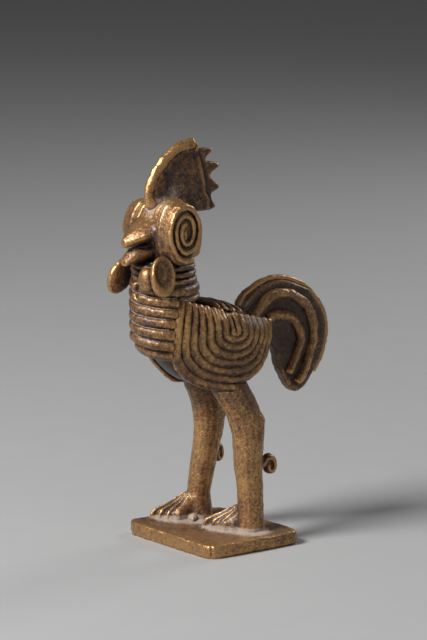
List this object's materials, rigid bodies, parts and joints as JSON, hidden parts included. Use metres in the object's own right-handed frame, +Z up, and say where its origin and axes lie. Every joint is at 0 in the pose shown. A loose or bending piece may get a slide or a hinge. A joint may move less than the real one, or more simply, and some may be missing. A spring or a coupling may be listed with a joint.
{
  "type": "rooster figurine",
  "caption": "Standing cast rooster with a tall notched comb, coiled eyes, ringed breast, ribbed wings and arched tail, on a flat square plate.",
  "frame": {"origin": "middle of the underside of the base plate", "axes": "+Z up from the plate, -Y the way the bird faces, +X its left side"},
  "size_m": [0.0516, 0.0935, 0.15],
  "materials": {
    "worn_brass": "cast, worn, golden brown with dark hollows",
    "dark_brass": "cast, dark brown patina with grey-beige residue",
    "bright_brass": "cast, rubbed bright on the ridges"
  },
  "bodies": {
    "root": {"back_thread_1": "worn_brass", "back_thread_2": "worn_brass", "back_thread_3": "worn_brass", "back_thread_4": "worn_brass", "base_plate": "bright_brass", "beak_lower": "bright_brass", "beak_upper": "bright_brass", "body_core": "dark_brass", "breast_thread_1": "bright_brass", "breast_thread_2": "bright_brass", "breast_thread_3": "bright_brass", "breast_thread_4": "bright_brass", "breast_thread_5": "bright_brass", "breast_thread_6": "bright_brass", "breast_thread_7": "bright_brass", "comb_blade": "dark_brass", "comb_ridge": "bright_brass", "ear_thread_left": "worn_brass", "ear_thread_right": "worn_brass", "eye_coil_left": "bright_brass", "eye_coil_right": "bright_brass", "eye_drum_left": "worn_brass", "eye_drum_right": "worn_brass", "foot_left": "worn_brass", "foot_right": "worn_brass", "head_core": "worn_brass", "leg_left": "worn_brass", "leg_right": "worn_brass", "nape_thread": "worn_brass", "neck_thread_1": "worn_brass", "neck_thread_2": "worn_brass", "neck_thread_3": "worn_brass", "spur_left": "worn_brass", "spur_right": "worn_brass", "tail_inner_rib_left": "bright_brass", "tail_inner_rib_right": "bright_brass", "tail_outer_rib_left": "bright_brass", "tail_outer_rib_right": "bright_brass", "tail_plate": "dark_brass", "tail_rim": "bright_brass", "throat_lobe": "worn_brass", "wattle_left": "bright_brass", "wattle_right": "bright_brass", "wing_panel_left": "dark_brass", "wing_panel_right": "dark_brass", "wing_thread_1_left": "bright_brass", "wing_thread_1_right": "bright_brass", "wing_thread_2_left": "bright_brass", "wing_thread_2_right": "bright_brass", "wing_thread_3_left": "bright_brass", "wing_thread_3_right": "bright_brass", "wing_thread_4_left": "bright_brass", "wing_thread_4_right": "bright_brass", "wing_thread_5_left": "bright_brass", "wing_thread_5_right": "bright_brass", "wing_thread_6_left": "bright_brass", "wing_thread_6_right": "bright_brass", "wing_thread_7_left": "bright_brass", "wing_thread_7_right": "bright_brass"}
  },
  "joints": []
}
